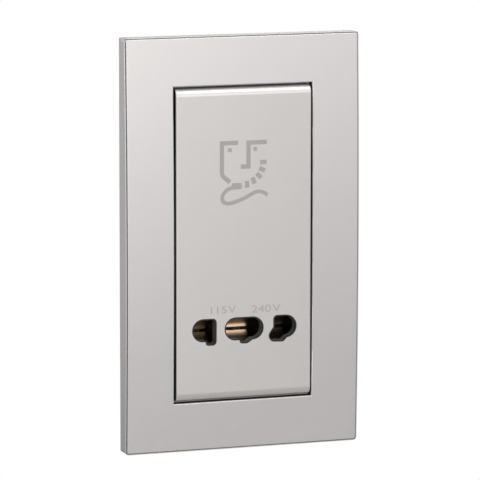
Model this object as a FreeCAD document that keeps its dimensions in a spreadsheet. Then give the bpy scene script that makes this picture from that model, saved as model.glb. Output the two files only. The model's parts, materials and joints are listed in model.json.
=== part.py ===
import FreeCAD, Part
import math
import os
import re

import Sketcher

# A shaver socket on a two-gang wall plate, with its isolating transformer in a case behind it.
# The wall is the plane y = 0. The front faces -y, the case goes to +y, and z is up.

# Driving dimensions, in millimetres.
SIZES = {
    # cover frame
    "plate_width": 86.0,
    "plate_height": 146.0,
    "frame_depth": 8.6,
    "crown_radius": 1904.0,
    "plate_corner": 1.4,
    "frame_edge": 0.3,
    "rebate_width": 0.55,
    "rebate_depth": 0.45,
    "head_room": 0.3,
    "skirt_wall": 1.8,
    "skirt_step": 0.3,
    "skirt_band": 2.8,
    "opening_width": 51.0,
    "opening_height": 111.4,
    "opening_edge": 0.3,
    "rim_wall": 1.4,
    "rim_clearance": 0.4,
    "post_side": 2.6,
    "post_thick": 2.0,
    "post_height": 8.0,
    "post_end": 8.0,
    "post_clearance": 0.3,
    "post_short": 0.6,
    # centre panel and pin guide
    "panel_gap": 0.7,
    "panel_proud": 0.1,
    "panel_wall": 1.6,
    "panel_end_radius": 2.8,
    "panel_side_radius": 0.35,
    "guide_clearance": 1.0,
    "guide_height": 16.0,
    "guide_thick": 2.0,
    "collar_wall": 0.4,
    "collar_clearance": 0.06,
    "collar_recess": 0.05,
    # pin apertures, all on one row
    "row_level": -30.05,
    "pin_radius": 3.65,
    "pin_corner": 1.0,
    "inner_corner": 0.55,
    "left_arc": -15.0,
    "left_flat": -10.5,
    "left_leg": -13.65,
    "leg_depth": 1.35,
    "leg_corner": 0.6,
    "centre_arc": 3.05,
    "centre_arc_right": 3.25,
    "notch_left": -1.15,
    "notch_right": 1.6,
    "notch_slant": 3.3,
    "notch_depth": 1.25,
    "notch_corner": 0.6,
    "right_arc": 15.5,
    "right_flat": 11.35,
    "slant_level": 0.1,
    "slant_bend": 1.0,
    "slot_end": 11.4,
    "slot_end_drop": 3.15,
    "slot_end_radius": 1.75,
    "slot_foot": 14.0,
    "slot_foot_drop": 3.8,
    "slot_foot_radius": 1.2,
    # plate on the wall, and the case behind it
    "grid_clearance": 1.2,
    "grid_thick": 2.2,
    "grid_corner": 3.0,
    "fixing_centres": 120.6,
    "fixing_radius": 2.1,
    "case_height": 100.0,
    "case_depth": 38.0,
    "case_wall": 2.0,
    "case_corner": 3.0,
    "case_clearance": 0.4,
    "flange_edge": 2.4,
    "flange_end": 0.6,
    "flange_thick": 1.6,
    "case_screw_side": 2.8,
    "case_screw_margin": 2.8,
    "case_screw_radius": 1.45,
    "case_head_radius": 2.6,
    "case_head_thick": 1.1,
    "screw_clearance": 0.1,
    "vent_width": 2.2,
    "vent_length": 14.0,
    "vent_pitch": 8.0,
    "vent_depth": 18.0,
    # contact carrier, contacts and switch
    "carrier_floor": 2.0,
    "pocket_height": 10.0,
    "pocket_side": 0.6,
    "slit_drop": 1.25,
    "slit_half": 0.6,
    "leaf_thick": 0.5,
    "pinch_depth": -0.6,
    "flare_gap": 0.9,
    "flare_rise": 4.0,
    "flare_fall": 3.0,
    "heel_half": 2.6,
    "heel_length": 0.6,
    "web_depth": 6.0,
    "left_contact_centre": -14.9,
    "left_contact_width": 6.8,
    "centre_contact_centre": -1.4,
    "centre_contact_width": 10.2,
    "right_contact_centre": 13.6,
    "right_contact_width": 7.4,
    "tail_width": 3.0,
    "tail_reach": 3.0,
    "left_tail": -16.0,
    "centre_tail": -5.0,
    "tail_clearance": 0.1,
    "plunger_centre": -0.2,
    "plunger_radius": 1.3,
    "nose_reach": 0.8,
    "plunger_reach": 2.5,
    "plunger_travel": 1.6,
    "plunger_clearance": 0.4,
    "collar_half": 2.1,
    "collar_gap": 0.9,
    "collar_thick": 0.8,
    "collar_stop": 0.2,
    "switch_gap": 0.3,
    "switch_length": 17.0,
    "switch_height": 10.0,
    "switch_depth": 8.0,
    # transformer
    "core_width": 48.0,
    "core_height": 40.0,
    "core_stack": 16.0,
    "clamp_headroom": 2.8,
    "bobbin_headroom": 2.5,
    "limb_width": 16.0,
    "side_limb": 8.0,
    "bobbin_clearance": 0.1,
    "bobbin_wall": 1.0,
    "bobbin_reach": 6.5,
    "winding_inset": 0.7,
    "winding_corner": 2.6,
    "cutout_width": 12.0,
    "cutout_height": 6.0,
    "cutout_thick": 3.0,
    "clamp_thick": 1.2,
    "clamp_inset": 0.5,
    "clamp_tab_height": 12.0,
    "foot_length": 3.6,
    "foot_clearance": 0.2,
    "clamp_screw_radius": 1.1,
    "clamp_head_radius": 1.7,
    "clamp_head_thick": 1.4,
    # mains terminals
    "block_end": 4.0,
    "block_height": 9.4,
    "block_depth": 12.0,
    "block_gap": 0.3,
    "block_inset": 0.3,
    "terminal_pitch": 14.0,
    "terminal_width": 8.0,
    "terminal_height": 6.4,
    "terminal_depth": 7.5,
    "terminal_floor": 2.0,
    "terminal_clearance": 0.2,
    "cable_radius": 1.8,
    "cable_floor": 0.65,
    "terminal_screw_radius": 1.6,
    "terminal_screw_proud": 1.8,
}

doc = FreeCAD.newDocument("shaver_socket")
sheet = doc.addObject("Spreadsheet::Sheet", "sizes")
for line_number, (alias, size) in enumerate(SIZES.items(), start=1):
    sheet.set(f"A{line_number}", str(size))
    sheet.setAlias(f"A{line_number}", alias)
doc.recompute()

# Sizes and places that follow from the driving ones.
FITS = {
    "face_width": "plate_width - 2 * rebate_width",
    "face_height": "plate_height - 2 * rebate_width",
    "face_corner": "plate_corner - rebate_width",
    "ledge_radius": "crown_radius - rebate_depth",
    "crown_middle": "crown_radius - frame_depth",
    "flange_front": "grid_thick + flange_thick",
    "frame_floor": "flange_front + case_head_thick + head_room",
    "grid_width": "plate_width - 2 * (skirt_wall + grid_clearance)",
    "grid_height": "plate_height - 2 * (skirt_wall + grid_clearance)",
    "post_centre": "grid_width / 2 - post_side",
    "post_level": "grid_height / 2 - post_end",
    "panel_front": "frame_depth + panel_proud",
    "panel_width": "opening_width - 2 * panel_gap",
    "panel_height": "opening_height - 2 * panel_gap",
    "guide_width": "panel_width - 2 * (panel_wall + guide_clearance)",
    "guide_front": "panel_front - panel_wall",
    "guide_back": "panel_front - panel_wall - guide_thick",
    "case_width": "core_width + 2 * (clamp_thick + foot_length + foot_clearance + case_wall)",
    "case_floor": "case_depth - case_wall",
    "case_screw_centre": "panel_width / 2 + case_head_radius + case_screw_side",
    "case_screw_level": "case_height / 2 + case_clearance + case_screw_margin",
    "flange_width": "2 * (case_screw_centre + case_head_radius + flange_edge)",
    "flange_height": "2 * (case_screw_level + case_head_radius + flange_end)",
    "slit_level": "row_level - slit_drop",
    "flare_depth": "flare_gap - guide_back",
    "heel_depth": "web_depth - heel_length",
    "plunger_nose": "web_depth - nose_reach",
    "collar_start": "web_depth + leaf_thick + collar_gap",
    "collar_end": "collar_start + collar_thick",
    "carrier_rear": "collar_end + plunger_travel + collar_stop + carrier_floor",
    "plunger_end": "carrier_rear + plunger_reach",
    "tail_end": "carrier_rear + tail_reach",
    "switch_left": "centre_tail + tail_width / 2 + switch_gap",
    "right_tail": "switch_left + switch_length + switch_gap + tail_width / 2",
    "core_level": "case_height / 2 - case_wall - clamp_headroom - clamp_thick - core_height / 2",
    "core_front": "case_floor - bobbin_headroom - bobbin_reach - core_stack",
    "core_low": "core_level - core_height / 2",
    "core_high": "core_level + core_height / 2",
    "window_half": "core_height / 2 - side_limb",
    "window_outer": "core_width / 2 - side_limb",
    "bobbin_side": "window_outer - bobbin_clearance",
    "bobbin_front": "core_front - bobbin_reach",
    "bobbin_back": "core_front + core_stack + bobbin_reach",
    "bobbin_low": "core_level - window_half + bobbin_clearance",
    "bobbin_high": "core_level + window_half - bobbin_clearance",
    "bobbin_middle": "core_level - bobbin_wall / 2",
    "bobbin_top": "bobbin_high - bobbin_wall",
    "foot_centre": "core_width / 2 + clamp_thick + foot_length / 2",
    "block_width": "2 * terminal_pitch + terminal_width + 2 * block_end",
    "block_low": "block_inset - case_height / 2",
    "block_level": "block_low + block_height / 2",
    "block_high": "block_low + block_height",
    "terminal_front": "case_depth - block_depth + terminal_floor",
    "terminal_back": "terminal_front + terminal_depth",
    "cable_depth": "terminal_front + cable_radius + cable_floor",
}
CONTACTS = ("left", "centre", "right")
VENTS = 5

# Two places or directions that differ by less than this are the same.
TINY = 1e-6


def spelled(expression):
    """The expression with each size's name pointed at the sheet, and each fit written out."""

    def point(match):
        word = match[0]
        if word in SIZES:
            return f"sizes.{word}"
        if word in FITS:
            return f"({spelled(FITS[word])})"
        return word

    return re.sub(r"[a-z_]+", point, expression)


def number(expression):
    """The expression's value, in millimetres."""
    return float(sheet.evalExpression(spelled(expression)))


def bind(thing, prop, expression):
    """Ties a property to the sheet."""
    thing.setExpression(prop, spelled(expression))


def new_body(label):
    """An empty body with this label."""
    body = doc.addObject("PartDesign::Body", label)
    body.Label = label
    return body


def new_sketch(body, name, role, offset="0"):
    """A sketch on one of the body's origin planes, moved along that plane's normal (-y for XZ)."""
    sketch = body.newObject("Sketcher::SketchObject", name)
    support = next(f for f in body.Origin.OriginFeatures if f.Role == role)
    sketch.AttachmentSupport = [(support, "")]
    sketch.MapMode = "FlatFace"
    bind(sketch, "AttachmentOffset.Base.z", offset)
    return sketch


def hold(sketch, geometry, point, x, y):
    """Holds a point of a sketch at x and y from the sketch's origin."""
    for kind, expression in (("DistanceX", x), ("DistanceY", y)):
        rule = Sketcher.Constraint(kind, -1, 1, geometry, point, number(expression))
        index = sketch.addConstraint(rule)
        bind(sketch, f"Constraints[{index}]", expression)


def round_off(sketch, geometry, radius):
    """Gives an arc or circle of a sketch its radius."""
    index = sketch.addConstraint(Sketcher.Constraint("Radius", geometry, number(radius)))
    bind(sketch, f"Constraints[{index}]", radius)


def polygon(sketch, corners):
    """A closed outline through corners, each a pair of expressions."""
    first = sketch.GeometryCount
    count = len(corners)
    points = [FreeCAD.Vector(number(x), number(y), 0) for x, y in corners]
    for i in range(count):
        sketch.addGeometry(Part.LineSegment(points[i], points[(i + 1) % count]))
    for i, (x, y) in enumerate(corners):
        after = first + (i + 1) % count
        sketch.addConstraint(Sketcher.Constraint("Coincident", first + i, 2, after, 1))
        hold(sketch, first + i, 1, x, y)


def rectangle(sketch, left, right, bottom, top):
    """A closed rectangle between four expressions."""
    polygon(sketch, [(left, bottom), (right, bottom), (right, top), (left, top)])


def centred(sketch, width, height):
    """A closed rectangle about the sketch's origin."""
    rectangle(sketch, f"-{width} / 2", f"{width} / 2", f"-{height} / 2", f"{height} / 2")


def circle(sketch, x, y, radius):
    """A circle about a held centre."""
    middle = FreeCAD.Vector(number(x), number(y), 0)
    index = sketch.addGeometry(Part.Circle(middle, FreeCAD.Vector(0, 0, 1), number(radius)))
    hold(sketch, index, 3, x, y)
    round_off(sketch, index, radius)


def tangent_points(start, end):
    """Where the straight edge between two arcs leaves the one and meets the other.

    Each arc is (x, y, signed radius): positive where the outline turns left round it.
    """
    across = end[0] - start[0]
    along = end[1] - start[1]
    lean = math.asin((end[2] - start[2]) / math.hypot(across, along))
    heading = math.atan2(along, across) - lean
    left = (-math.sin(heading), math.cos(heading))
    return [(arc[0] - left[0] * arc[2], arc[1] - left[1] * arc[2]) for arc in (start, end)]


def rounded(sketch, corners):
    """A closed outline of tangent arcs and lines, run counter-clockwise.

    Each corner is (x, y, radius, turn): the arc's centre and radius, and turn 1 for an outer
    corner or -1 for an inner one.
    """
    count = len(corners)
    arcs = [(number(x), number(y), number(radius) * turn) for x, y, radius, turn in corners]
    runs = [tangent_points(arcs[i], arcs[(i + 1) % count]) for i in range(count)]
    first = sketch.GeometryCount
    for i, (x, y, radius) in enumerate(arcs):
        ends = [runs[i - 1][1], runs[i][0]]
        if radius < 0:
            ends.reverse()
        angles = [math.atan2(end[1] - y, end[0] - x) for end in ends]
        if angles[1] < angles[0]:
            angles[1] += 2 * math.pi
        ring = Part.Circle(FreeCAD.Vector(x, y, 0), FreeCAD.Vector(0, 0, 1), abs(radius))
        sketch.addGeometry(Part.ArcOfCircle(ring, *angles))
    for start, end in runs:
        sketch.addGeometry(Part.LineSegment(FreeCAD.Vector(*start, 0), FreeCAD.Vector(*end, 0)))
    for i, (x, y, radius, turn) in enumerate(corners):
        hold(sketch, first + i, 3, x, y)
        round_off(sketch, first + i, radius)
        entry, leave = (1, 2) if turn > 0 else (2, 1)
        before = first + count + (i - 1) % count
        after = first + count + i
        sketch.addConstraint(Sketcher.Constraint("Tangent", before, 2, first + i, entry))
        sketch.addConstraint(Sketcher.Constraint("Tangent", after, 1, first + i, leave))


def pad(body, sketch, length, backwards=False, both_ways=False):
    """Adds the sketch's area to the body, along the plane's normal or against it."""
    feature = body.newObject("PartDesign::Pad", f"{sketch.Name}_pad")
    feature.Profile = sketch
    feature.Reversed = backwards
    if both_ways:
        feature.SideType = "Symmetric"
    bind(feature, "Length", length)
    doc.recompute()
    return feature


def pocket(body, sketch, length=None, forwards=False):
    """Cuts the sketch's area out of the body, by a length or right through, and checks that it cut."""
    before = body.Shape.Volume
    feature = body.newObject("PartDesign::Pocket", f"{sketch.Name}_cut")
    feature.Profile = sketch
    feature.Reversed = forwards
    if length is None:
        feature.SideType = "Symmetric"
        feature.Type = "ThroughAll"
    else:
        bind(feature, "Length", length)
    doc.recompute()
    if body.Shape.Volume >= before:
        raise ValueError(f"{feature.Name} cuts nothing")
    return feature


def edge_names(shape, edges):
    """The shape's own names for these edges."""
    return [f"Edge{i}" for i, e in enumerate(shape.Edges, start=1) if any(e.isSame(x) for x in edges)]


def fillet(body, base, name, edges, radius):
    """Rounds some edges of the base feature."""
    feature = body.newObject("PartDesign::Fillet", name)
    feature.Base = (base, edge_names(base.Shape, edges))
    bind(feature, "Radius", radius)
    doc.recompute()
    return feature


def crop(body, base, name, edges, size):
    """Cuts some edges of the base feature off at 45 degrees."""
    feature = body.newObject("PartDesign::Chamfer", name)
    feature.Base = (base, edge_names(base.Shape, edges))
    bind(feature, "Size", size)
    doc.recompute()
    return feature


def edges_along(shape, direction):
    """The straight edges that run along a direction."""
    found = []
    for edge in shape.Edges:
        if isinstance(edge.Curve, Part.Line) and edge.Curve.Direction.cross(direction).Length < TINY:
            found.append(edge)
    return found


def box(name, low, high):
    """A box between two corners, each three expressions."""
    item = doc.addObject("Part::Box", name)
    for prop, start, end in zip(("Length", "Width", "Height"), low, high):
        bind(item, prop, f"({end}) - ({start})")
    for axis, start in zip("xyz", low):
        bind(item, f"Placement.Base.{axis}", start)
    return item


def cylinder(name, radius, x, z, start, end):
    """A round bar along y from start to end."""
    item = doc.addObject("Part::Cylinder", name)
    item.Placement.Rotation = FreeCAD.Rotation(FreeCAD.Vector(1, 0, 0), -90)
    bind(item, "Radius", radius)
    bind(item, "Height", f"({end}) - ({start})")
    for axis, place in zip("xyz", (x, start, z)):
        bind(item, f"Placement.Base.{axis}", place)
    return item


def upright(name, radius, x, y, start, end):
    """A round bar along z from start to end."""
    item = doc.addObject("Part::Cylinder", name)
    bind(item, "Radius", radius)
    bind(item, "Height", f"({end}) - ({start})")
    for axis, place in zip("xyz", (x, y, start)):
        bind(item, f"Placement.Base.{axis}", place)
    return item


def fuse(name, pieces):
    """One solid from several."""
    item = doc.addObject("Part::MultiFuse", name)
    item.Shapes = pieces
    item.Refine = True
    return item


def cut(name, base, tool):
    """The base without the tool."""
    item = doc.addObject("Part::Cut", name)
    item.Base = base
    item.Tool = tool
    return item


def group(name, pieces):
    """Separate solids in one node."""
    item = doc.addObject("Part::Compound", name)
    item.Links = pieces
    return item


ALONG_X = FreeCAD.Vector(1, 0, 0)
ALONG_Y = FreeCAD.Vector(0, 1, 0)
ALONG_Z = FreeCAD.Vector(0, 0, 1)
SIGNS = ("-", "")


def left_aperture(grow):
    """D-shaped aperture with a leg under its flat side."""
    leg_floor = "row_level - pin_radius - leg_depth"
    return [
        ("left_arc", "row_level", f"pin_radius + {grow}", 1),
        ("left_leg - inner_corner", "row_level - pin_radius - inner_corner", f"inner_corner - {grow}", -1),
        ("left_leg + leg_corner", f"{leg_floor} + leg_corner", f"leg_corner + {grow}", 1),
        ("left_flat - pin_corner", f"{leg_floor} + pin_corner", f"pin_corner + {grow}", 1),
        ("left_flat - pin_corner", "row_level + pin_radius - pin_corner", f"pin_corner + {grow}", 1),
    ]


def centre_aperture(grow):
    """Long round-ended aperture with a one-sided notch in its lower edge."""
    notch_floor = "row_level - pin_radius - notch_depth + notch_corner"
    inner_level = "row_level - pin_radius - inner_corner"
    return [
        ("-centre_arc", "row_level", f"pin_radius + {grow}", 1),
        ("notch_left - inner_corner", inner_level, f"inner_corner - {grow}", -1),
        ("notch_left + notch_corner", notch_floor, f"notch_corner + {grow}", 1),
        ("notch_right - notch_corner", notch_floor, f"notch_corner + {grow}", 1),
        ("notch_slant", inner_level, f"inner_corner - {grow}", -1),
        ("centre_arc_right", "row_level", f"pin_radius + {grow}", 1),
    ]


def right_aperture(grow):
    """D-shaped aperture with a slanting slot that leads out of its lower edge."""
    return [
        ("right_arc", "row_level", f"pin_radius + {grow}", 1),
        ("right_flat + pin_corner", "row_level + pin_radius - pin_corner", f"pin_corner + {grow}", 1),
        ("right_flat - slant_bend", "row_level + slant_level", f"slant_bend - {grow}", -1),
        ("slot_end", "row_level - slot_end_drop", f"slot_end_radius + {grow}", 1),
        ("slot_foot", "row_level - slot_foot_drop", f"slot_foot_radius + {grow}", 1),
        ("right_arc + inner_corner", "row_level - pin_radius - inner_corner", f"inner_corner - {grow}", -1),
    ]


def aperture_outlines(sketch, grow):
    """All three apertures, each grown by the same margin."""
    for aperture in (left_aperture, centre_aperture, right_aperture):
        rounded(sketch, aperture(grow))


def crowned_block(body, name, width, height, radius):
    """Adds a block behind a front that is bowed from top to bottom."""
    profile = new_sketch(body, name, "YZ_Plane")
    half = number(f"{height} / 2")
    middle = number("crown_middle")
    swing = math.asin(half / number(radius))
    edge_y = middle - number(radius) * math.cos(swing)
    rear_low = FreeCAD.Vector(0, -half, 0)
    rear_high = FreeCAD.Vector(0, half, 0)
    front_low = FreeCAD.Vector(edge_y, -half, 0)
    front_high = FreeCAD.Vector(edge_y, half, 0)
    ring = Part.Circle(FreeCAD.Vector(middle, 0, 0), ALONG_Z, number(radius))
    low = profile.addGeometry(Part.LineSegment(front_low, rear_low))
    back = profile.addGeometry(Part.LineSegment(rear_low, rear_high))
    high = profile.addGeometry(Part.LineSegment(rear_high, front_high))
    bow = profile.addGeometry(Part.ArcOfCircle(ring, math.pi - swing, math.pi + swing))
    for start, end in ((low, back), (back, high), (high, bow), (bow, low)):
        profile.addConstraint(Sketcher.Constraint("Coincident", start, 2, end, 1))
    for level in (low, high):
        profile.addConstraint(Sketcher.Constraint("Horizontal", level))
    hold(profile, back, 1, "0", f"-{height} / 2")
    hold(profile, back, 2, "0", f"{height} / 2")
    hold(profile, bow, 3, "crown_middle", "0")
    round_off(profile, bow, radius)
    return pad(body, profile, width, both_ways=True)


def crowned_face(shape):
    """The large bowed face at the front of the cover frame."""
    bowed = [f for f in shape.Faces if isinstance(f.Surface, Part.Cylinder)]
    return max(bowed, key=lambda f: f.Surface.Radius)


def build_front_frame():
    """Crowned cover frame: a ledge and a face in front of it, opened, hollowed and given posts."""
    body = new_body("front_frame")
    base = crowned_block(body, "frame_base", "plate_width", "plate_height", "ledge_radius")
    fillet(body, base, "base_corners", edges_along(base.Shape, ALONG_Y), "plate_corner")
    raised = crowned_block(body, "frame_face", "face_width", "face_height", "crown_radius")
    risers = [e for e in edges_along(raised.Shape, ALONG_Y) if e.Length < number("2 * rebate_depth")]
    cornered = fillet(body, raised, "face_corners", risers, "face_corner")
    face = crowned_face(cornered.Shape)
    fillet(body, cornered, "face_edge", face.OuterWire.Edges, "frame_edge")

    opening = new_sketch(body, "frame_opening", "XZ_Plane")
    centred(opening, "opening_width", "opening_height")
    opened = pocket(body, opening)
    front_face = crowned_face(opened.Shape)
    inner = [e for e in front_face.Edges if not any(e.isSame(o) for o in front_face.OuterWire.Edges)]
    fillet(body, opened, "frame_opening_edge", inner, "opening_edge")

    hollow = new_sketch(body, "frame_hollow", "XZ_Plane")
    centred(hollow, "(plate_width - 2 * skirt_wall)", "(plate_height - 2 * skirt_wall)")
    centred(hollow, "(opening_width + 2 * rim_wall)", "(opening_height + 2 * rim_wall)")
    pocket(body, hollow, "frame_floor", forwards=True)
    rim = new_sketch(body, "frame_rim", "XZ_Plane")
    centred(rim, "(opening_width + 2 * rim_wall)", "(opening_height + 2 * rim_wall)")
    pocket(body, rim, "flange_front + rim_clearance", forwards=True)
    step = new_sketch(body, "skirt_step", "XZ_Plane")
    centred(step, "(plate_width + 2 * skirt_step)", "(plate_height + 2 * skirt_step)")
    centred(step, "(plate_width - 2 * skirt_step)", "(plate_height - 2 * skirt_step)")
    pocket(body, step, "skirt_band", forwards=True)

    posts = new_sketch(body, "frame_posts", "XZ_Plane", "frame_floor")
    for side in SIGNS:
        for level in SIGNS:
            x = f"{side}post_centre"
            z = f"{level}post_level"
            rectangle(
                posts,
                f"{x} - post_thick / 2",
                f"{x} + post_thick / 2",
                f"{z} - post_height / 2",
                f"{z} + post_height / 2",
            )
    pad(body, posts, "frame_floor - post_short", backwards=True)
    return body


def build_centre_panel():
    """Flat panel, a shell open at the back, with rounded ends and three cut-outs."""
    body = new_body("centre_panel")
    outline = new_sketch(body, "panel_outline", "XZ_Plane", "flange_front")
    centred(outline, "panel_width", "panel_height")
    block = pad(body, outline, "panel_front - flange_front")
    front_y = -number("panel_front")
    ends = [e for e in edges_along(block.Shape, ALONG_X) if abs(e.CenterOfMass.y - front_y) < TINY]
    eased = fillet(body, block, "panel_ends", ends, "panel_end_radius")
    flat = max(eased.Shape.Faces, key=lambda f: -f.CenterOfMass.y)
    sides = edges_along(flat, ALONG_Z)
    fillet(body, eased, "panel_sides", sides, "panel_side_radius")
    hollow = new_sketch(body, "panel_hollow", "XZ_Plane", "flange_front")
    centred(hollow, "(panel_width - 2 * panel_wall)", "(panel_height - 2 * panel_wall)")
    pocket(body, hollow, "panel_front - flange_front - panel_wall", forwards=True)
    cuts = new_sketch(body, "panel_apertures", "XZ_Plane")
    aperture_outlines(cuts, "(collar_wall + collar_clearance)")
    pocket(body, cuts)
    return body


def build_pin_guide():
    """Black guide behind the panel, with a collar through it for each aperture."""
    body = new_body("pin_guide")
    plate = new_sketch(body, "guide_plate", "XZ_Plane", "guide_back")
    rectangle(
        plate,
        "-guide_width / 2",
        "guide_width / 2",
        "row_level - guide_height / 2",
        "row_level + guide_height / 2",
    )
    pad(body, plate, "guide_thick")
    collars = new_sketch(body, "guide_collars", "XZ_Plane", "guide_front")
    aperture_outlines(collars, "collar_wall")
    pad(body, collars, "panel_wall - collar_recess")
    holes = new_sketch(body, "guide_holes", "XZ_Plane")
    aperture_outlines(holes, "0")
    pocket(body, holes)
    return body


def build_mounting_grid():
    """Steel plate on the wall, with two fixing holes on the wall box's centres."""
    body = new_body("mounting_grid")
    outline = new_sketch(body, "grid_outline", "XZ_Plane")
    centred(outline, "grid_width", "grid_height")
    centred(outline, "(case_width + 2 * case_clearance)", "(case_height + 2 * case_clearance)")
    plate = pad(body, outline, "grid_thick")
    side = number("grid_width / 2") - TINY
    outer = [e for e in edges_along(plate.Shape, ALONG_Y) if abs(e.CenterOfMass.x) > side]
    crop(body, plate, "grid_corners", outer, "grid_corner")
    holes = new_sketch(body, "grid_holes", "XZ_Plane")
    for level in SIGNS:
        circle(holes, "0", f"{level}fixing_centres / 2", "fixing_radius")
        for side in SIGNS:
            circle(holes, f"{side}case_screw_centre", f"{level}case_screw_level", "case_screw_radius")
            x = f"{side}post_centre"
            z = f"{level}post_level"
            rectangle(
                holes,
                f"{x} - post_thick / 2 - post_clearance",
                f"{x} + post_thick / 2 + post_clearance",
                f"{z} - post_height / 2 - post_clearance",
                f"{z} + post_height / 2 + post_clearance",
            )
    pocket(body, holes)
    return body


def build_rear_housing():
    """Moulded case, open at the front, with a flange, vents and an open corner for the terminals."""
    body = new_body("rear_housing")
    case = new_sketch(body, "case_outline", "XZ_Plane", "grid_thick")
    centred(case, "case_width", "case_height")
    block = pad(body, case, "case_depth + grid_thick", backwards=True)
    fillet(body, block, "case_corners", edges_along(block.Shape, ALONG_Y), "case_corner")
    flange = new_sketch(body, "case_flange", "XZ_Plane", "grid_thick")
    centred(flange, "flange_width", "flange_height")
    pad(body, flange, "flange_thick")
    hollow = new_sketch(body, "case_hollow", "XZ_Plane", "flange_front")
    centred(hollow, "(case_width - 2 * case_wall)", "(case_height - 2 * case_wall)")
    pocket(body, hollow, "flange_front + case_floor")
    holes = new_sketch(body, "case_screw_holes", "XZ_Plane", "flange_front")
    for side in SIGNS:
        for level in SIGNS:
            radius = "case_screw_radius + screw_clearance"
            circle(holes, f"{side}case_screw_centre", f"{level}case_screw_level", radius)
    pocket(body, holes, "flange_thick")
    corner = new_sketch(body, "terminal_corner", "XZ_Plane", "-case_depth")
    rectangle(corner, "-block_width / 2", "block_width / 2", "-case_height / 2", "block_high + block_gap")
    pocket(body, corner, "block_depth + block_gap", forwards=True)
    feet = new_sketch(body, "clamp_holes", "XZ_Plane", "-case_floor")
    for side in SIGNS:
        circle(feet, f"{side}foot_centre", "core_level", "clamp_screw_radius + screw_clearance")
    pocket(body, feet, "case_wall")
    vent = new_sketch(body, "vent", "XY_Plane", "case_height / 2")
    row_length = f"{VENTS - 1} * vent_pitch"
    rectangle(
        vent,
        f"-vent_width / 2 - {row_length} / 2",
        f"vent_width / 2 - {row_length} / 2",
        "vent_depth - vent_length / 2",
        "vent_depth + vent_length / 2",
    )
    slot = pocket(body, vent, "case_wall")
    row = body.newObject("PartDesign::LinearPattern", "vents")
    row.Originals = [slot]
    row.Direction = (vent, ["H_Axis"])
    row.Occurrences = VENTS
    bind(row, "Length", row_length)
    body.Tip = row
    doc.recompute()
    return body


def terminal_places():
    """The three terminals' places across the block."""
    return ("-terminal_pitch", "0", "terminal_pitch")


def build_contact_carrier():
    """Insulating block with one pocket for each contact, tail slots and a guide for the plunger."""
    body = new_body("contact_carrier")
    outline = new_sketch(body, "carrier_outline", "XZ_Plane", "guide_back")
    rectangle(
        outline,
        "-guide_width / 2",
        "guide_width / 2",
        "row_level - guide_height / 2",
        "row_level + guide_height / 2",
    )
    pad(body, outline, "guide_back + carrier_rear", backwards=True)
    pockets = new_sketch(body, "carrier_pockets", "XZ_Plane", "guide_back")
    reaches = (
        ("left_arc - pin_radius", "left_flat"),
        ("-centre_arc - pin_radius", "centre_arc_right + pin_radius"),
        ("slot_end - slot_end_radius", "right_arc + pin_radius"),
    )
    for left, right in reaches:
        rectangle(
            pockets,
            f"{left} - pocket_side",
            f"{right} + pocket_side",
            "row_level - pocket_height / 2 - pocket_side",
            "row_level + pocket_height / 2 - pocket_side",
        )
    pocket(body, pockets, "guide_back + carrier_rear - carrier_floor")
    slots = new_sketch(body, "tail_slots", "XZ_Plane", "-carrier_rear")
    for name in CONTACTS:
        rectangle(
            slots,
            f"{name}_tail - tail_width / 2 - tail_clearance",
            f"{name}_tail + tail_width / 2 + tail_clearance",
            "slit_level - leaf_thick / 2 - tail_clearance",
            "slit_level + leaf_thick / 2 + tail_clearance",
        )
    circle(slots, "plunger_centre", "slit_level", "plunger_radius + plunger_clearance")
    pocket(body, slots, "carrier_floor", forwards=True)
    return body


def build_contact(name):
    """Folded bronze contact: two leaves that pinch at a slit and flare open towards the front."""
    body = new_body(f"{name}_contact")
    profile = new_sketch(body, f"{name}_leaves", "YZ_Plane")
    upper = [
        ("flare_depth", "slit_level + slit_half + flare_rise"),
        ("pinch_depth", "slit_level + slit_half"),
        ("heel_depth", "slit_level + heel_half - leaf_thick"),
        ("web_depth", "slit_level + heel_half - leaf_thick"),
        ("web_depth", "slit_level - heel_half + leaf_thick"),
        ("heel_depth", "slit_level - heel_half + leaf_thick"),
        ("pinch_depth", "slit_level - slit_half"),
        ("flare_depth", "slit_level - slit_half - flare_fall"),
    ]
    outer = [
        ("flare_depth", "slit_level - slit_half - flare_fall - leaf_thick"),
        ("pinch_depth", "slit_level - slit_half - leaf_thick"),
        ("heel_depth", "slit_level - heel_half"),
        ("web_depth + leaf_thick", "slit_level - heel_half"),
        ("web_depth + leaf_thick", "slit_level + heel_half"),
        ("heel_depth", "slit_level + heel_half"),
        ("pinch_depth", "slit_level + slit_half + leaf_thick"),
        ("flare_depth", "slit_level + slit_half + flare_rise + leaf_thick"),
    ]
    polygon(profile, upper + outer)
    pad(body, profile, f"{name}_contact_width", both_ways=True)
    tail = new_sketch(body, f"{name}_tail_end", "XZ_Plane", "-web_depth - leaf_thick / 2")
    middle = f"{name}_tail - {name}_contact_centre"
    rectangle(
        tail,
        f"{middle} - tail_width / 2",
        f"{middle} + tail_width / 2",
        "slit_level - leaf_thick / 2",
        "slit_level + leaf_thick / 2",
    )
    pad(body, tail, "tail_end - web_depth - leaf_thick / 2", backwards=True)
    if name == "centre":
        hole = new_sketch(body, "plunger_hole", "XZ_Plane", "-web_depth - leaf_thick")
        clear = "plunger_radius + plunger_clearance"
        circle(hole, "plunger_centre - centre_contact_centre", "slit_level", clear)
        pocket(body, hole, "leaf_thick", forwards=True)
    bind(body, "Placement.Base.x", f"{name}_contact_centre")
    return body


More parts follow.
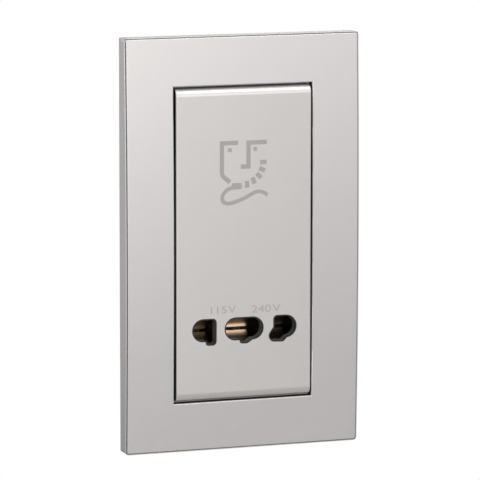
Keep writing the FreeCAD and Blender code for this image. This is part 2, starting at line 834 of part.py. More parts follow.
def build_switch():
    """Plunger that a plug's pin pushes back, and the switch behind it."""
    middle = ("plunger_centre", "slit_level")
    rod = cylinder("plunger_rod", "plunger_radius", *middle, "plunger_nose", "plunger_end")
    collar = box(
        "plunger_collar",
        ("plunger_centre - collar_half", "collar_start", "slit_level - collar_half"),
        ("plunger_centre + collar_half", "collar_end", "slit_level + collar_half"),
    )
    actuator = fuse("switch_actuator", [rod, collar])
    case = box(
        "switch_case",
        ("switch_left", "carrier_rear", "slit_level - switch_height / 2"),
        ("switch_left + switch_length", "carrier_rear + switch_depth", "slit_level + switch_height / 2"),
    )
    reach = "plunger_end + plunger_travel + plunger_clearance"
    well = cylinder("switch_well", "plunger_radius + plunger_clearance", *middle, "carrier_rear", reach)
    return [actuator, cut("microswitch", case, well)]


def build_core():
    """Stack of E and I laminations with two windows."""
    body = new_body("transformer_core")
    outline = new_sketch(body, "core_outline", "XZ_Plane", "-core_front")
    rectangle(outline, "-core_width / 2", "core_width / 2", "core_low", "core_high")
    floor = "core_level - window_half"
    top = "core_level + window_half"
    rectangle(outline, "limb_width / 2", "window_outer", floor, top)
    rectangle(outline, "-window_outer", "-limb_width / 2", floor, top)
    pad(body, outline, "core_stack", backwards=True)
    return body


def cropped_block(sketch, half_width, front, back, size):
    """A closed rectangle with cropped corners, across x and from front to back."""
    right = f"{half_width} - {size}"
    left = f"{size} - {half_width}"
    near = f"{front} + {size}"
    far = f"{back} - {size}"
    corners = [
        (left, front),
        (right, front),
        (half_width, near),
        (half_width, far),
        (right, back),
        (left, back),
        (f"-{half_width}", far),
        (f"-{half_width}", near),
    ]
    polygon(sketch, corners)


def limb_hole(sketch, margin):
    """The rectangle round the core's middle limb."""
    rectangle(
        sketch,
        f"-limb_width / 2 - {margin}",
        f"limb_width / 2 + {margin}",
        f"core_front - {margin}",
        f"core_front + core_stack + {margin}",
    )


def build_bobbin():
    """Former on the middle limb: a tube with three flanges."""
    body = new_body("bobbin")
    tube = new_sketch(body, "bobbin_tube", "XY_Plane", "bobbin_low")
    limb_hole(tube, "(bobbin_clearance + bobbin_wall)")
    pad(body, tube, "bobbin_high - bobbin_low")
    for place, level in (("low", "bobbin_low"), ("middle", "bobbin_middle"), ("high", "bobbin_top")):
        flange = new_sketch(body, f"bobbin_{place}", "XY_Plane", level)
        rectangle(flange, "-bobbin_side", "bobbin_side", "bobbin_front", "bobbin_back")
        pad(body, flange, "bobbin_wall")
    hole = new_sketch(body, "bobbin_hole", "XY_Plane")
    limb_hole(hole, "bobbin_clearance")
    pocket(body, hole)
    return body


def build_winding(label, low, high):
    """Wound copper between two flanges of the bobbin."""
    body = new_body(label)
    outline = new_sketch(body, f"{label}_outline", "XY_Plane", low)
    side = "(bobbin_side - winding_inset)"
    front = "(bobbin_front + winding_inset)"
    back = "(bobbin_back - winding_inset)"
    cropped_block(outline, side, front, back, "winding_corner")
    limb_hole(outline, "(bobbin_clearance + bobbin_wall)")
    pad(body, outline, f"{high} - {low}")
    return body


def build_core_clamp():
    """Steel strap over the top and sides of the core, with a tab and a foot on each side."""
    body = new_body("core_clamp")
    strap = new_sketch(body, "clamp_strap", "XZ_Plane", "-core_front - clamp_inset")
    inner = "core_width / 2"
    outer = "(core_width / 2 + clamp_thick)"
    polygon(
        strap,
        [
            (f"-{outer}", "core_low"),
            (f"-{inner}", "core_low"),
            (f"-{inner}", "core_high"),
            (inner, "core_high"),
            (inner, "core_low"),
            (outer, "core_low"),
            (outer, "core_high + clamp_thick"),
            (f"-{outer}", "core_high + clamp_thick"),
        ],
    )
    pad(body, strap, "core_stack - 2 * clamp_inset", backwards=True)
    tab_low = "core_level - clamp_tab_height / 2"
    tab_high = "core_level + clamp_tab_height / 2"
    tabs = new_sketch(body, "clamp_tabs", "XZ_Plane", "-case_floor")
    feet = new_sketch(body, "clamp_feet", "XZ_Plane", "-case_floor")
    for side in SIGNS:
        near = f"{side}{inner}"
        far = f"{side}{outer}"
        end = f"{side}({outer} + foot_length)"
        rectangle(tabs, *sorted((near, far), key=number), tab_low, tab_high)
        rectangle(feet, *sorted((near, end), key=number), tab_low, tab_high)
    pad(body, tabs, "case_floor - core_front - core_stack / 2")
    pad(body, feet, "clamp_thick")
    holes = new_sketch(body, "foot_holes", "XZ_Plane", "-case_floor")
    for side in SIGNS:
        circle(holes, f"{side}foot_centre", "core_level", "clamp_screw_radius + screw_clearance")
    pocket(body, holes, "clamp_thick", forwards=True)
    return body


def screw(name, x, z, seat, head_radius, head_end, shank_radius, shank_end):
    """Screw along y: its head lies from the seat to head_end, and its shank from the seat to shank_end."""
    head = cylinder(f"{name}_head", head_radius, x, z, *sorted((seat, head_end), key=number))
    shank = cylinder(f"{name}_shank", shank_radius, x, z, *sorted((seat, shank_end), key=number))
    return fuse(name, [head, shank])


def build_case_screws():
    """Four screws through the case's flange into the plate."""
    screws = []
    for side in SIGNS:
        for level in SIGNS:
            screws.append(
                screw(
                    f"case_screw_{len(screws) + 1}",
                    f"{side}case_screw_centre",
                    f"{level}case_screw_level",
                    "-flange_front",
                    "case_head_radius",
                    "-flange_front - case_head_thick",
                    "case_screw_radius",
                    "0",
                )
            )
    return group("housing_screws", screws)


def build_clamp_screws():
    """Two screws through the clamp's feet into the case."""
    screws = []
    for side in SIGNS:
        screws.append(
            screw(
                f"clamp_screw_{len(screws) + 1}",
                f"{side}foot_centre",
                "core_level",
                "case_floor - clamp_thick",
                "clamp_head_radius",
                "case_floor - clamp_thick - clamp_head_thick",
                "clamp_screw_radius",
                "case_depth",
            )
        )
    return group("clamp_screws", screws)


def build_cutout():
    """Thermal cut-out, held against the front of the winding."""
    face = "bobbin_front + winding_inset"
    level = "(bobbin_middle + bobbin_top + bobbin_wall) / 2"
    return box(
        "thermal_cutout",
        ("-cutout_width / 2", f"{face} - cutout_thick", f"{level} - cutout_height / 2"),
        ("cutout_width / 2", face, f"{level} + cutout_height / 2"),
    )


def build_terminals():
    """Block in the case's open corner with three brass terminals, each with its clamping screw."""
    body = new_body("terminal_block")
    outline = new_sketch(body, "block_outline", "XZ_Plane", "-case_depth")
    rectangle(outline, "-block_width / 2", "block_width / 2", "block_low", "block_high")
    pad(body, outline, "block_depth")
    pockets = new_sketch(body, "block_pockets", "XZ_Plane", "-case_depth")
    bores = new_sketch(body, "block_bores", "XY_Plane", "block_low")
    for place in terminal_places():
        rectangle(
            pockets,
            f"{place} - terminal_width / 2 - terminal_clearance",
            f"{place} + terminal_width / 2 + terminal_clearance",
            "block_level - terminal_height / 2 - terminal_clearance",
            "block_level + terminal_height / 2 + terminal_clearance",
        )
        circle(bores, place, "cable_depth", "cable_radius")
    pocket(body, pockets, "block_depth - terminal_floor", forwards=True)
    pocket(body, bores, "block_height / 2", forwards=True)
    made = [body]
    screws = []
    for label, place in zip(("live", "neutral", "earth"), terminal_places()):
        brass = box(
            f"{label}_brass",
            (f"{place} - terminal_width / 2", "terminal_front", "block_level - terminal_height / 2"),
            (f"{place} + terminal_width / 2", "terminal_back", "block_level + terminal_height / 2"),
        )
        bore = upright(f"{label}_bore", "cable_radius", place, "cable_depth", "block_low", "block_level")
        tapped = "terminal_screw_radius + screw_clearance"
        thread = cylinder(f"{label}_thread", tapped, place, "block_level", "cable_depth", "terminal_back")
        made.append(cut(f"{label}_terminal", brass, fuse(f"{label}_holes", [bore, thread])))
        outer = "terminal_back + terminal_screw_proud"
        clamped = "cable_depth + cable_radius"
        screws.append(
            cylinder(f"{label}_screw", "terminal_screw_radius", place, "block_level", clamped, outer)
        )
    return made + [group("terminal_screws", screws)]


nodes = [
    build_front_frame(),
    build_centre_panel(),
    build_pin_guide(),
    build_mounting_grid(),
    build_rear_housing(),
    build_contact_carrier(),
    *[build_contact(name) for name in CONTACTS],
    *build_switch(),
    build_core(),
    build_bobbin(),
    build_winding("primary_winding", "(bobbin_low + bobbin_wall)", "bobbin_middle"),
    build_winding("secondary_winding", "(bobbin_middle + bobbin_wall)", "bobbin_top"),
    build_core_clamp(),
    build_clamp_screws(),
    build_cutout(),
    *build_terminals(),
    build_case_screws(),
]
doc.recompute()

for item in doc.Objects:
    if "Invalid" in item.State or "Error" in item.State:
        raise ValueError(f"{item.Name} did not build")
for node in nodes:
    if node.Shape.isNull() or not node.Shape.isValid():
        raise ValueError(f"{node.Label} has no valid shape")

os.makedirs("parts", exist_ok=True)
for node in nodes:
    node.Shape.exportStep(f"parts/{node.Label}.step")
    solids = len(node.Shape.Solids)
    print(f"{node.Label}: {solids} solid(s), {node.Shape.Volume:.1f} mm3")
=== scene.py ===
"""Finishes, printed signs and studio for a shaver socket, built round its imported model."""

import json
import logging
import math
from dataclasses import dataclass
from enum import Enum

import bpy
from mathutils import Matrix, Vector

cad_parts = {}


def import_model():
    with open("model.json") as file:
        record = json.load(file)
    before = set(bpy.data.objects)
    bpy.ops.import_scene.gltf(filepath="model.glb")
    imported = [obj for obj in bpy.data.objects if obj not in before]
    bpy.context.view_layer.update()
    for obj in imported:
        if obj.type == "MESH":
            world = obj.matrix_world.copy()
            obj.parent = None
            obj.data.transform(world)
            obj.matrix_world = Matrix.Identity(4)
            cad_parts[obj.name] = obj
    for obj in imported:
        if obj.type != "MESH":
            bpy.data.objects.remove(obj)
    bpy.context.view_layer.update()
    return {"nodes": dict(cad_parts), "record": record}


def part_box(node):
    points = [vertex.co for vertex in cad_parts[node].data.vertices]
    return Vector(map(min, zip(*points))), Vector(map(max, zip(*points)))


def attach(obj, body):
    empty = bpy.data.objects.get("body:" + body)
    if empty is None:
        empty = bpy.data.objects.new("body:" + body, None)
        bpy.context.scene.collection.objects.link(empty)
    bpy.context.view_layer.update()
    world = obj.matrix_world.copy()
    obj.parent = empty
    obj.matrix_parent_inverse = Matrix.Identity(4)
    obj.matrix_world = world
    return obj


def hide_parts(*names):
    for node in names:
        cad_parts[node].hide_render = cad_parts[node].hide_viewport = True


LOG = logging.getLogger("shaver_socket")
MM = 0.001

Triple = tuple[float, float, float]
Colour = Triple
Place = tuple[float, float]
Size = tuple[float, float]
Span = tuple[float, float]
Socket = bpy.types.NodeSocket


class Body(Enum):
    """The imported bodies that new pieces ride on."""

    UNIT = "unit"


class Slot(Enum):
    """Names of two material slots, which the code below does not use."""

    PANEL = "silver_panel"
    STEEL = "plated_steel"


class Line(Enum):
    """How a printed stroke runs between its points."""

    STRAIGHT = "POLY"
    SMOOTH = "BEZIER"


class Axis(Enum):
    """The axes, by their number."""

    X = 0
    Y = 1
    Z = 2


def shaded(colour: Colour, share: float) -> Colour:
    """A lighter or darker tone of a colour."""
    return tuple(min(1.0, part * share) for part in colour)


class NodeTree:
    """The nodes of a material or of the surroundings."""

    def __init__(self, tree: bpy.types.NodeTree) -> None:
        """Takes up a tree of nodes."""
        self.nodes = tree.nodes
        self.links = tree.links

    def math(self, operation: str, *terms: Socket | float) -> Socket:
        """A calculation on numbers and results.

        Args:
            operation: the calculation's name in the node.
            terms: one or two numbers or results.

        Returns:
            The result's socket.
        """
        node = self.nodes.new("ShaderNodeMath")
        node.operation = operation
        for socket, term in zip(node.inputs, terms):
            if isinstance(term, (int, float)):
                socket.default_value = term
            else:
                self.links.new(term, socket)
        return node.outputs[0]


class NodeBoard(NodeTree):
    """A new material, with short ways to add and join its nodes."""

    noise_middle: Span = (0.3, 0.7)
    bands_scale: float = math.pi / 10
    mixed_colours: tuple[int, int] = (6, 7)
    mixed_result: int = 2

    def __init__(self, name: str) -> None:
        """Starts a material on the piece's own coordinates.

        Args:
            name: the material's name.
        """
        self.material = bpy.data.materials.new(name)
        self.material.use_nodes = True
        super().__init__(self.material.node_tree)
        self.shader = self.nodes["Principled BSDF"]
        self.place = self.nodes.new("ShaderNodeTexCoord").outputs["Object"]

    def fix(self, values: dict[str, float]) -> None:
        """Sets the shader's sockets that are the same all over."""
        for socket, value in values.items():
            self.shader.inputs[socket].default_value = value

    def feed(self, socket: str, source: Socket) -> None:
        """Joins a result to one of the shader's sockets."""
        self.links.new(source, self.shader.inputs[socket])

    def axis(self, axis: Axis) -> Socket:
        """One coordinate of the surface, in metres.

        Args:
            axis: the coordinate's axis.

        Returns:
            The coordinate.
        """
        node = self.nodes.new("ShaderNodeSeparateXYZ")
        self.links.new(self.place, node.inputs[0])
        return node.outputs[axis.value]

    def noise(self, size: float, detail: float = 2.0, stretch: Triple = (1.0, 1.0, 1.0)) -> Socket:
        """Soft blotches.

        Args:
            size: a blotch's size in metres.
            detail: how many finer layers it has.
            stretch: how much finer it is along each axis.

        Returns:
            The strength of the blotches.
        """
        mapping = self.nodes.new("ShaderNodeMapping")
        mapping.inputs["Scale"].default_value = stretch
        self.links.new(self.place, mapping.inputs["Vector"])
        node = self.nodes.new("ShaderNodeTexNoise")
        node.inputs["Scale"].default_value = 1 / size
        node.inputs["Detail"].default_value = detail
        self.links.new(mapping.outputs[0], node.inputs["Vector"])
        return node.outputs["Fac"]

    def bands(self, axis: Axis, pitch: float, wobble: float = 0.0) -> Socket:
        """Even bands across an axis, one for each pitch.

        Args:
            axis: the axis that crosses the bands.
            pitch: the distance from band to band in metres.
            wobble: how far the bands stray.

        Returns:
            The height of the bands, from 0 to 1.
        """
        node = self.nodes.new("ShaderNodeTexWave")
        node.bands_direction = axis.name
        node.inputs["Scale"].default_value = self.bands_scale / pitch
        node.inputs["Distortion"].default_value = wobble
        self.links.new(self.place, node.inputs["Vector"])
        return node.outputs["Fac"]

    def spread(self, value: Socket, low: float, high: float) -> Socket:
        """Stretches the middle of a noise to a range of numbers.

        Args:
            value: the noise.
            low: the number at the low end of its middle.
            high: the number at the high end of its middle.

        Returns:
            The stretched noise.
        """
        node = self.nodes.new("ShaderNodeMapRange")
        node.inputs["From Min"].default_value = self.noise_middle[0]
        node.inputs["From Max"].default_value = self.noise_middle[1]
        node.inputs["To Min"].default_value = low
        node.inputs["To Max"].default_value = high
        self.links.new(value, node.inputs["Value"])
        return node.outputs[0]

    def mix(self, share: Socket, first: Socket | Colour, second: Socket | Colour) -> Socket:
        """A blend of two colours.

        Args:
            share: how much of the second colour there is.
            first: a colour or a result.
            second: a colour or a result.

        Returns:
            The blended colour.
        """
        node = self.nodes.new("ShaderNodeMix")
        node.data_type = "RGBA"
        self.links.new(share, node.inputs["Factor"])
        for number, colour in zip(self.mixed_colours, (first, second)):
            socket = node.inputs[number]
            if isinstance(colour, tuple):
                socket.default_value = (*colour, 1.0)
            else:
                self.links.new(colour, socket)
        return node.outputs[self.mixed_result]

    def toned(self, share: Socket, colour: Colour, tones: Span) -> Socket:
        """A colour that varies between a darker and a lighter tone.

        Args:
            share: how much of the lighter tone there is.
            colour: the colour.
            tones: how much of the colour each tone has.

        Returns:
            The varied colour.
        """
        dark, light = tones
        return self.mix(share, shaded(colour, dark), shaded(colour, light))

    def bump(self, height: Socket, depth: float) -> None:
        """Gives the surface a fine relief.

        Args:
            height: the relief's pattern.
            depth: the relief's depth in metres.
        """
        node = self.nodes.new("ShaderNodeBump")
        node.inputs["Distance"].default_value = depth
        self.links.new(height, node.inputs["Height"])
        self.feed("Normal", node.outputs[0])


@dataclass(frozen=True)
class SatinPaint:
    """Satin metallic paint on a moulding, with near-black painted shade on its deep walls."""

    name: str
    colour: Colour
    metallic: float = 0.6
    refraction: float = 1.5
    roughness: float = 0.36
    rough_patch: float = 1.6 * MM
    rough_spread: float = 0.015
    painted_shade_colour: Colour = (0.012, 0.012, 0.013)
    shade_roughness: float = 0.2
    flake: float = 0.14 * MM
    flake_tones: Span = (0.97, 1.028)
    cloud: float = 24 * MM
    cloud_share: float = 0.08
    cloud_tone: float = 0.93
    peel: float = 0.7 * MM
    peel_depth: float = 0.0006 * MM

    def start(self) -> tuple[NodeBoard, Socket]:
        """The painted surface with its flakes and clouds.

        Returns:
            The material's nodes and the paint's colour.
        """
        board = NodeBoard(self.name)
        board.fix({"IOR": self.refraction})
        flakes = board.spread(board.noise(self.flake, detail=1.0), 0.0, 1.0)
        flaked = board.toned(flakes, self.colour, self.flake_tones)
        clouds = board.spread(board.noise(self.cloud, detail=3.0), 0.0, self.cloud_share)
        clouded = board.mix(clouds, flaked, shaded(self.colour, self.cloud_tone))
        board.bump(board.noise(self.peel), self.peel_depth)
        return board, clouded

    def finish(self, board: NodeBoard, paint: Socket, painted_shade_mask: Socket) -> bpy.types.Material:
        """Joins paint and the near-black painted shade of deep walls.

        Args:
            board: the material's nodes.
            paint: the paint's colour.
            painted_shade_mask: 1 where near-black painted shade takes the place of the paint, and 0
                elsewhere.

        Returns:
            The material.
        """
        # Where the mask is 1, the paint gives way to a near-black painted shade that is not metallic and is
        # rougher.
        unshaded = board.math("SUBTRACT", 1.0, painted_shade_mask)
        board.feed("Base Color", board.mix(painted_shade_mask, paint, self.painted_shade_colour))
        board.feed("Metallic", board.math("MULTIPLY", unshaded, self.metallic))
        smoothest = self.roughness - self.rough_spread
        roughest = self.roughness + self.rough_spread
        rough = board.spread(board.noise(self.rough_patch), smoothest, roughest)
        rougher = board.math("MULTIPLY", painted_shade_mask, self.shade_roughness)
        board.feed("Roughness", board.math("ADD", rough, rougher))
        return board.material


@dataclass(frozen=True)
class Moulding:
    """Matt moulded plastic with an eroded grain and faint flow marks."""

    name: str
    colour: Colour
    roughness: float = 0.5
    grain: float = 0.25 * MM
    relief: float = 0.006 * MM
    flow: float = 9 * MM
    flow_stretch: Triple = (1.0, 1.0, 0.35)
    flow_tones: Span = (0.93, 1.05)
    rough_patch: float = 2 * MM
    rough_spread: float = 0.06

    def start(self) -> tuple[NodeBoard, Socket]:
        """The moulded surface with its grain and flow marks.

        Returns:
            The material's nodes and the moulding's colour.
        """
        board = NodeBoard(self.name)
        flow = board.spread(board.noise(self.flow, detail=3.0, stretch=self.flow_stretch), 0.0, 1.0)
        smoothest = self.roughness - self.rough_spread
        roughest = self.roughness + self.rough_spread
        board.feed("Roughness", board.spread(board.noise(self.rough_patch, detail=3.0), smoothest, roughest))
        board.bump(board.noise(self.grain, detail=3.0), self.relief)
        return board, board.toned(flow, self.colour, self.flow_tones)

    def make(self) -> bpy.types.Material:
        """Makes the finish.

        Returns:
            The material.
        """
        board, colour = self.start()
        board.feed("Base Color", colour)
        return board.material


@dataclass(frozen=True)
class SheetMetal:
    """Bare or plated metal with streaks along one axis and stains."""

    name: str
    colour: Colour
    stain: Colour
    roughness: float = 0.32
    smoother: float = 0.08
    rougher: float = 0.1
    streak: Triple = (1.0, 1.0, 0.06)
    streak_size: float = 0.12 * MM
    streak_tones: Span = (0.88, 1.08)
    streak_depth: float = 0.002 * MM
    stain_size: float = 5 * MM
    stain_share: float = 0.5
    # The contacts use this colour for pin wear together with a painted highlight beside their slits.
    wear_and_highlight_colour: Colour = (0.8, 0.8, 0.8)

    def start(self) -> tuple[NodeBoard, Socket]:
        """The metal with its streaks and stains.

        Returns:
            The material's nodes and the metal's colour.
        """
        board = NodeBoard(self.name)
        board.fix({"Metallic": 1.0})
        streaks = board.noise(self.streak_size, stretch=self.streak)
        lined = board.toned(board.spread(streaks, 0.0, 1.0), self.colour, self.streak_tones)
        stains = board.spread(board.noise(self.stain_size, detail=4.0), 0.0, self.stain_share)
        rough = board.spread(streaks, self.roughness - self.smoother, self.roughness + self.rougher)
        board.feed("Roughness", rough)
        board.bump(streaks, self.streak_depth)
        return board, board.mix(stains, lined, self.stain)

    def make(self) -> bpy.types.Material:
        """Makes the finish.

        Returns:
            The material.
        """
        board, colour = self.start()
        board.feed("Base Color", colour)
        return board.material


@dataclass(frozen=True)
class Banded:
    """A surface of fine parallel layers, such as stacked sheets or turns of wire."""

    name: str
    colour: Colour
    gap: Colour
    axis: Axis
    pitch: float
    relief: float
    metallic: float
    roughness: float
    smoother: float = 0.05
    rougher: float = 0.08
    wobble: float = 0.4
    gap_sharpness: float = 3.0
    mottle: float = 3 * MM
    mottle_tones: Span = (0.85, 1.1)

    def make(self) -> bpy.types.Material:
        """Makes the finish.

        Returns:
            The material.
        """
        board = NodeBoard(self.name)
        board.fix({"Metallic": self.metallic})
        layers = board.bands(self.axis, self.pitch, self.wobble)
        mottled = board.spread(board.noise(self.mottle, detail=3.0), 0.0, 1.0)
        tone = board.toned(mottled, self.colour, self.mottle_tones)
        gaps = board.math("POWER", layers, self.gap_sharpness)
        board.feed("Base Color", board.mix(gaps, tone, self.gap))
        rough = board.spread(mottled, self.roughness - self.smoother, self.roughness + self.rougher)
        board.feed("Roughness", rough)
        board.bump(board.math("SUBTRACT", 1.0, layers), self.relief)
        return board.material


@dataclass(frozen=True)
class PrintInk:
    """Thin screen-printed ink."""

    name: str
    colour: Colour
    roughness: float = 0.5
    rough_spread: float = 0.04
    cover: float = 0.3 * MM
    cover_tones: Span = (0.95, 1.06)

    def make(self) -> bpy.types.Material:
        """Makes the finish.

        Returns:
            The material.
        """
        board = NodeBoard(self.name)
        cover = board.spread(board.noise(self.cover, detail=3.0), 0.0, 1.0)
        board.feed("Base Color", board.toned(cover, self.colour, self.cover_tones))
        rough = board.spread(cover, self.roughness - self.rough_spread, self.roughness + self.rough_spread)
        board.feed("Roughness", rough)
        return board.material


def dress(node: bpy.types.Object, material: bpy.types.Material) -> None:
    """Gives a piece its finish and reports it.

    Args:
        node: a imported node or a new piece.
        material: the finish.
    """
    node.data.materials.clear()
    node.data.materials.append(material)
    LOG.info("%s: %s", node.name, material.name)


def deselect() -> None:
    """Leaves nothing selected or active."""
    if bpy.context.mode != "OBJECT":
        bpy.ops.object.mode_set(mode="OBJECT")
    bpy.ops.object.select_all(action="DESELECT")
    bpy.context.view_layer.objects.active = None


def settle(piece: bpy.types.Object) -> None:
    """Puts a piece's place into its mesh and leaves its object at the origin.

    Args:
        piece: the piece.
    """
    deselect()
    piece.select_set(True)
    bpy.context.view_layer.objects.active = piece
    bpy.ops.object.transform_apply(location=True, rotation=True, scale=True)


def copies(piece: bpy.types.Object, places: list[Matrix]) -> list[bpy.types.Object]:
    """Copies a piece to several places and removes the first one.

    Args:
        piece: the piece to copy.
        places: how each copy is turned and moved.

    Returns:
        The copies.
    """
    made = []
    for place in places:
        deselect()
        piece.select_set(True)
        bpy.context.view_layer.objects.active = piece
        bpy.ops.object.duplicate(linked=False)
        copy = bpy.context.object
        copy.matrix_world = place
        settle(copy)
        made.append(copy)
    bpy.data.objects.remove(piece)
    return made


def join(pieces: list[bpy.types.Object], name: str) -> bpy.types.Object:
    """Makes one object of several.

    Args:
        pieces: the objects to join.
        name: the new object's name.

    Returns:
        The joined object.
    """
    deselect()
    for piece in pieces:
        piece.select_set(True)
    bpy.context.view_layer.objects.active = pieces[0]
    if len(pieces) > 1:
        bpy.ops.object.join()
    pieces[0].name = name
    return pieces[0]


@dataclass
class CoverFrame:
    """The crowned frame in front of the plate."""

    node: bpy.types.Object
    opening: Size = (51.0 * MM, 111.4 * MM)
    crown_radius: float = 1904 * MM
    shade_depth: float = 0.9 * MM
    rim_reach: float = 0.6 * MM
    rebate_width: float = 0.55 * MM
    rebate_margin: float = 1.05
    rebate_top: float = 0.28 * MM
    rebate_floor: float = 0.5 * MM
    corner_shade_width: float = 0.26 * MM
    corner_shade_tone: Colour = (0.1, 0.1, 0.1)

    def depth(self, board: NodeBoard, along: Socket) -> Socket:
        """How far the surface lies behind the bowed front, in metres.

        Args:
            board: the material's nodes.
            along: the distance from mid-height.

        Returns:
            The depth.
        """
        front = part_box(self.node.name)[0][1]
        bow = board.math("MULTIPLY", board.math("MULTIPLY", along, along), 0.5 / self.crown_radius)
        return board.math("SUBTRACT", board.math("SUBTRACT", board.axis(Axis.Y), front), bow)

    def dress(self, paint: SatinPaint) -> None:
        """Paints the frame, with near-black painted shade on its opening's deep walls and darker painted
        shade in the inner corner of its rebate.

        Args:
            paint: the frame's paint.
        """
        board, colour = paint.start()
        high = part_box(self.node.name)[1]
        across = board.math("ABSOLUTE", board.axis(Axis.X))
        along = board.math("ABSOLUTE", board.axis(Axis.Z))
        depth = self.depth(board, along)
        # The opening's walls deeper than this depth get near-black painted shade.
        deep = board.math("GREATER_THAN", depth, self.shade_depth)
        in_width = board.math("LESS_THAN", across, self.opening[0] / 2 + self.rim_reach)
        in_height = board.math("LESS_THAN", along, self.opening[1] / 2 + self.rim_reach)
        painted_shade_mask = board.math("MULTIPLY", deep, board.math("MULTIPLY", in_width, in_height))
        # The inner corner of the rebate, next to the face's wall, gets a darker painted shade.
        to_side = board.math("SUBTRACT", high[0], across)
        to_end = board.math("SUBTRACT", high[2], along)
        to_edge = board.math("MINIMUM", to_side, to_end)
        off_face = board.math("LESS_THAN", to_edge, self.rebate_margin * self.rebate_width)
        in_corner = board.math("GREATER_THAN", to_edge, self.rebate_width - self.corner_shade_width)
        below_face = board.math("GREATER_THAN", depth, self.rebate_top)
        above_skirt = board.math("LESS_THAN", depth, self.rebate_floor)
        level = board.math("MULTIPLY", below_face, above_skirt)
        corner_shade = board.math("MULTIPLY", level, board.math("MULTIPLY", off_face, in_corner))
        dress(self.node, paint.finish(board, board.mix(corner_shade, colour, self.corner_shade_tone), painted_shade_mask))


@dataclass
class CentrePanel:
    """The flat panel in the frame's opening."""

    node: bpy.types.Object
    end_radius: float = 2.8 * MM
    shade_depth: float = 0.8 * MM
    side_reach: float = 0.05 * MM

    def dress(self, paint: SatinPaint) -> None:
        """Paints the panel's front and rounded ends, and puts near-black painted shade on its side walls and
        its deeper parts.

        Args:
            paint: the panel's paint.
        """
        board, colour = paint.start()
        low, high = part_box(self.node.name)
        depth = board.math("SUBTRACT", board.axis(Axis.Y), low[1])
        along = board.math("ABSOLUTE", board.axis(Axis.Z))
        across = board.math("ABSOLUTE", board.axis(Axis.X))
        between = board.math("LESS_THAN", along, high[2] - self.end_radius)
        on_side = board.math("GREATER_THAN", across, high[0] - self.side_reach)
        walls = board.math("MAXIMUM", between, on_side)
        # Side walls deeper than this depth, and everything deeper than the rounded ends, get near-black
        # painted shade.
        shallow_shade = board.math("MULTIPLY", walls, board.math("GREATER_THAN", depth, self.shade_depth))
        deep_shade = board.math("GREATER_THAN", depth, self.end_radius)
        dress(self.node, paint.finish(board, colour, board.math("MAXIMUM", shallow_shade, deep_shade)))


@dataclass
class PinGuide:
    """The black moulding behind the panel, whose collars line the apertures."""

    node: bpy.types.Object
    scuff_and_sheen_start: float = 0.6 * MM
    scuff_and_sheen_end: float = 3.3 * MM
    scuff_and_sheen_tone: Colour = (0.25, 0.24, 0.22)
    scuff_and_sheen_patch: float = 0.8 * MM
    scuff_and_sheen_least: float = 0.45

    def dress(self, moulding: Moulding) -> None:
        """Colours the guide, lighter on the walls of its apertures with pin scuffs and a painted sheen.

        Args:
            moulding: the guide's plastic.
        """
        board, colour = moulding.start()
        depth = board.math("SUBTRACT", board.axis(Axis.Y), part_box(self.node.name)[0][1])
        # Lighter walls inside the apertures: pin scuffs together with a painted sheen.
        inside = board.math("GREATER_THAN", depth, self.scuff_and_sheen_start)
        shallow = board.math("LESS_THAN", depth, self.scuff_and_sheen_end)
        patchy_scuff_and_sheen = board.spread(board.noise(self.scuff_and_sheen_patch, detail=3.0), self.scuff_and_sheen_least, 1.0)
        scuff_and_sheen = board.math("MULTIPLY", patchy_scuff_and_sheen, board.math("MULTIPLY", inside, shallow))
        board.feed("Base Color", board.mix(scuff_and_sheen, colour, self.scuff_and_sheen_tone))
        dress(self.node, board.material)


@dataclass(frozen=True)
class ContactWear:
    """How bright a contact's wear and painted highlight are beside its slit, and how much painted shade
    darkens its lower leaf.
    """

    node: str
    rub_and_highlight: float
    lower_leaf_shade: float


@dataclass
class ContactSet:
    """The three folded contacts behind the apertures."""

    nodes: dict[str, bpy.types.Object]
    slit_level: float = -31.3 * MM
    wear_and_highlight_reach: float = 2.4 * MM
    wear_and_highlight_end: float = 0.4 * MM
    lower_leaf_shade_tone: Colour = (0.03, 0.025, 0.02)
    wears: tuple[ContactWear, ...] = (
        ContactWear("left_contact", rub_and_highlight=0.4, lower_leaf_shade=0.3),
        ContactWear("centre_contact", rub_and_highlight=1.8, lower_leaf_shade=0.0),
        ContactWear("right_contact", rub_and_highlight=0.6, lower_leaf_shade=0.9),
    )

    def dress(self, bronze: SheetMetal) -> None:
        """Tarnishes each contact, lightens it beside its slit with pin wear and a painted highlight, and
        darkens its lower leaf with painted shade.

        Args:
            bronze: the contacts' metal.
        """
        for wear in self.wears:
            board, colour = bronze.start()
            # Beside the slit the bronze is lightened: pin wear together with a painted highlight.
            away = board.math("SUBTRACT", board.axis(Axis.Z), self.slit_level)
            near = board.math("DIVIDE", board.math("ABSOLUTE", away), self.wear_and_highlight_reach)
            rub_and_highlight = board.math("MAXIMUM", board.math("SUBTRACT", 1.0, near), 0.0)
            in_front = board.math("LESS_THAN", board.axis(Axis.Y), self.wear_and_highlight_end)
            bright = board.math("MULTIPLY", board.math("MULTIPLY", rub_and_highlight, in_front), wear.rub_and_highlight)
            bright = board.math("MINIMUM", bright, 1.0)
            worn_and_highlit_colour = board.mix(bright, colour, bronze.wear_and_highlight_colour)
            # Below the slit the lower leaf is darkened by painted shade, more on some contacts than others.
            lower = board.math("LESS_THAN", away, 0.0)
            lower_shade = board.math("MULTIPLY", lower, wear.lower_leaf_shade)
            board.feed("Base Color", board.mix(lower_shade, worn_and_highlit_colour, self.lower_leaf_shade_tone))
            dress(self.nodes[wear.node], board.material)


